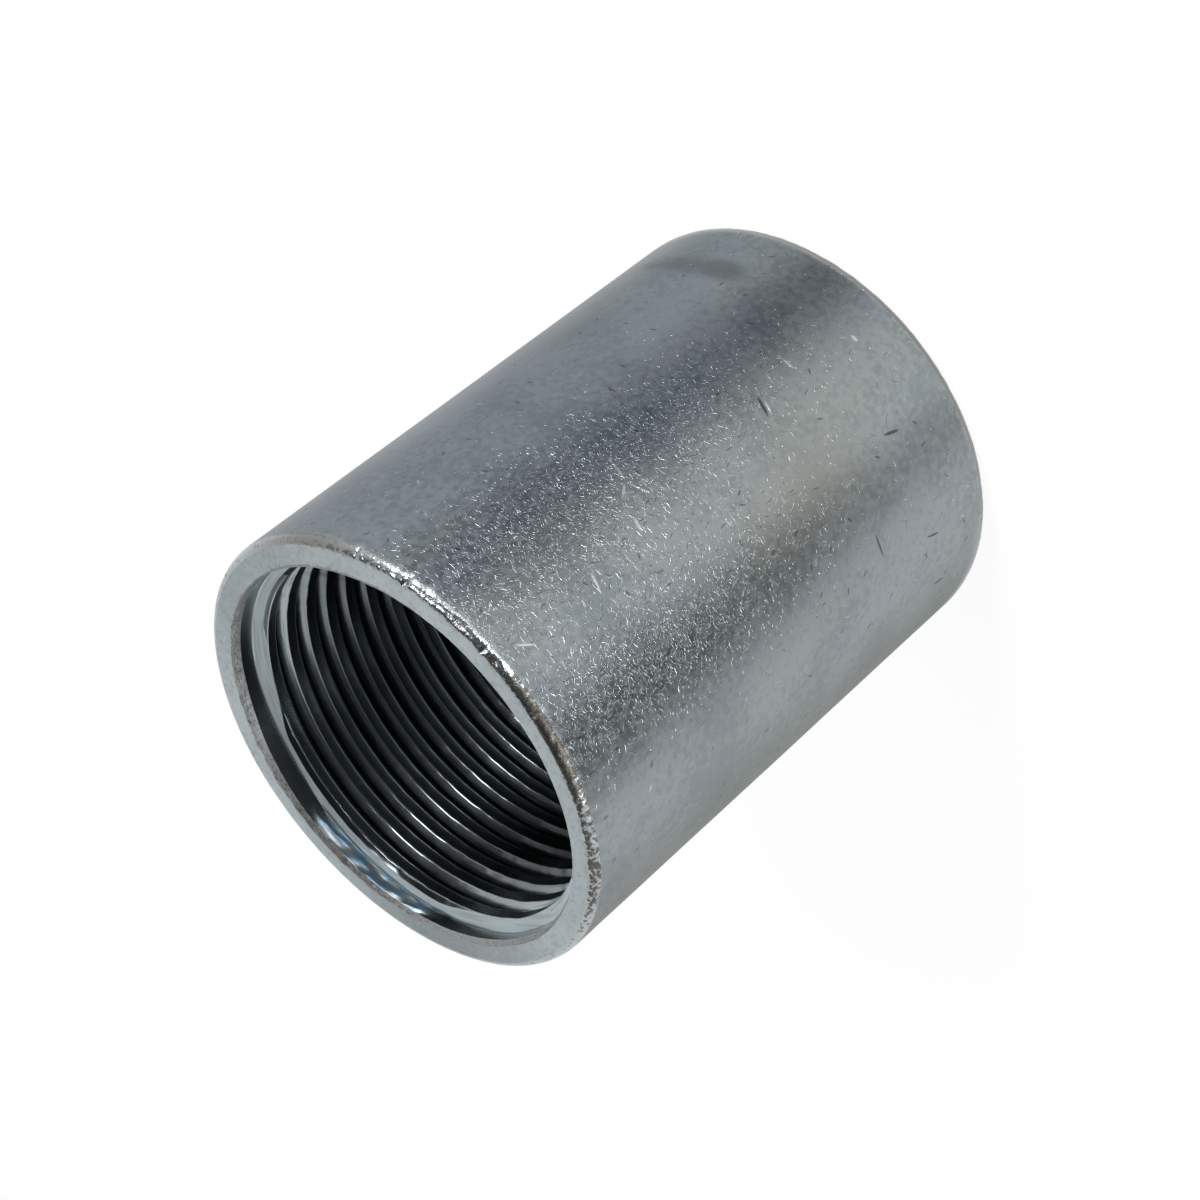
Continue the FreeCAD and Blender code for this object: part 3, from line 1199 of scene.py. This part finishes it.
# Light: a white surround with a dark side over the camera, a key lamp for the rim, low lamps for the scuffs
SURROUND = 0.95
DARK_SIDE = Vector((0.1, -0.5, 0.86)).normalized()
DARK_SIDE_EDGE = (0.45, 0.63)  # cosines between which the surround turns dark
DARK_SIDE_SHADE = 0.06
KEY_PLACE = (250.0, -205.0, 405.0)
KEY_SIZE = 120.0
KEY_POWER = 0.6
LOW_HEADINGS = (-134.0, -86.0, -38.0)
LOW_DISTANCE = 500.0
LOW_HEIGHT = 55.0
LOW_SIZE = (170.0, 70.0)
LOW_POWER = 0.75


def surround():
    """The world: white, with one soft dark side over the camera."""
    world = bpy.data.worlds.new("studio")
    bpy.context.scene.world = world
    world.use_nodes = True
    tree = world.node_tree
    heading = place(tree, "ShaderNodeTexCoord").outputs["Generated"]
    facing = place(tree, "ShaderNodeVectorMath", {0: heading, 1: DARK_SIDE}, operation="DOT_PRODUCT")
    shade = spread(tree, facing.outputs["Value"], *DARK_SIDE_EDGE, SURROUND, DARK_SIDE_SHADE)
    background = tree.nodes["Background"]
    background.inputs["Color"].default_value = (1.0, 1.0, 1.0, 1.0)
    tree.links.new(shade, background.inputs["Strength"])


def studio_light():
    """The key lamp and the ring of low lamps."""
    middle = (0.0, 0.0, LENGTH / 2)
    area_lamp("key_lamp", KEY_PLACE, middle, KEY_SIZE, KEY_SIZE, KEY_POWER)
    for number, heading in enumerate(LOW_HEADINGS):
        angle = math.radians(heading)
        spot = (LOW_DISTANCE * math.cos(angle), LOW_DISTANCE * math.sin(angle), LOW_HEIGHT)
        area_lamp("low_lamp_%d" % number, spot, middle, *LOW_SIZE, LOW_POWER)


# Camera, from a perspective fit to the photograph
CAMERA_PLACE = (0.0, -188.66, 157.036)
CAMERA_AIM = (-0.521, 0.0, 26.106)
CAMERA_ROLL = -129.507
CAMERA_LENS = 88.086
CAMERA_SENSOR = 36.0


def photo_camera():
    """The camera at the photograph's place, rolled as the photograph is."""
    data = bpy.data.cameras.new("photo_camera")
    data.sensor_width = CAMERA_SENSOR
    data.lens = CAMERA_LENS
    data.clip_start = 0.01
    data.clip_end = 20.0
    camera = add_object("photo_camera", data)
    aim = Vector(CAMERA_AIM) - Vector(CAMERA_PLACE)
    level = aim.to_track_quat("-Z", "Y").to_matrix()
    rolled = level @ Matrix.Rotation(math.radians(CAMERA_ROLL), 3, "Z")
    camera.matrix_world = Matrix.Translation(Vector(CAMERA_PLACE) * MM) @ rolled.to_4x4()
    bpy.context.scene.camera = camera


sleeve = build_sleeve([scuffed_wall(), hammered_rim(), faced_ring(), torn_mouth(), tapped_bore()])
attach(sleeve, "root")
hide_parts(NODE)
studio_floor()
reflection_sheet()
bore_floor()
surround()
studio_light()
photo_camera()
bpy.context.scene.view_settings.view_transform = "Standard"
